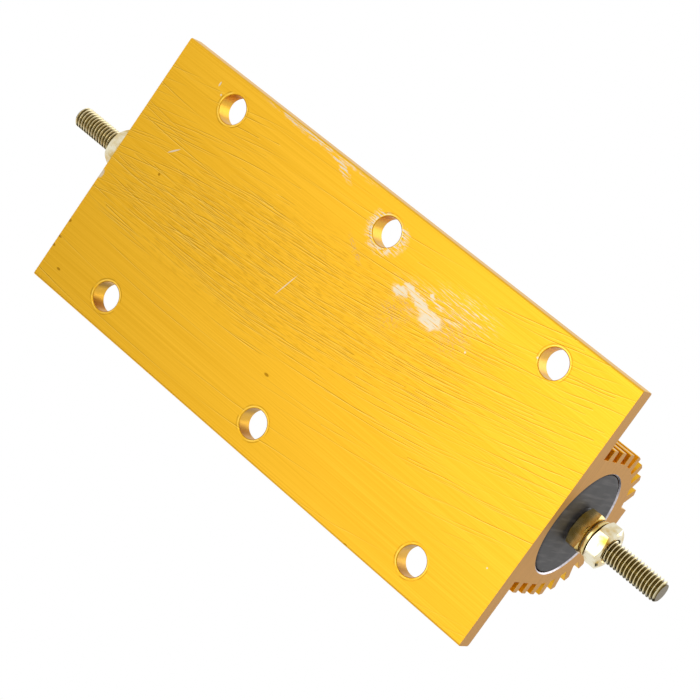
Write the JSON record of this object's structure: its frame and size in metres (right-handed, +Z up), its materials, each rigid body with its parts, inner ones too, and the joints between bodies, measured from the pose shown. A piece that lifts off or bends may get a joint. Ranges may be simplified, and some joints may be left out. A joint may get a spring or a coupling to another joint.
{
  "type": "aluminium housed power resistor",
  "caption": "Wirewound power resistor in a finned extruded aluminium housing with a flat mounting base and a threaded stud terminal at each end.",
  "frame": {"origin": "centre of the flat mounting face", "axes": "+X along the terminal studs towards the right-hand stud, +Y across the mounting flanges, +Z up from the mounting face through the fins"},
  "size_m": [0.2026, 0.0724, 0.04],
  "materials": {
    "gold_anodised_aluminium": "extruded and gold anodised, satin, with fine lines along its length and handling scratches",
    "white_ceramic": "matt, unglazed",
    "resistance_wire": "dull drawn wire",
    "cement": "matt, fine sandy grain",
    "cap_steel": "pressed, dull",
    "yellow_zinc_steel": "bright zinc plate with yellow passivation",
    "pale_zinc_steel": "bright zinc plate with pale yellow passivation",
    "grey_sealant": "dark grey silicone sealing compound, matt with light marks"
  },
  "bodies": {
    "root": {"housing": "gold_anodised_aluminium", "ceramic_core": "white_ceramic", "resistance_winding": "resistance_wire", "cement_filling": "cement", "end_cap_left": "cap_steel", "end_cap_right": "cap_steel", "terminal_stud_left": "yellow_zinc_steel", "terminal_stud_right": "yellow_zinc_steel", "end_seal_left": "grey_sealant", "end_seal_right": "grey_sealant", "inner_nut_left": "yellow_zinc_steel", "inner_nut_right": "yellow_zinc_steel", "spring_washer_left": "yellow_zinc_steel", "spring_washer_right": "yellow_zinc_steel", "outer_nut_left": "pale_zinc_steel", "outer_nut_right": "pale_zinc_steel"}
  },
  "joints": []
}
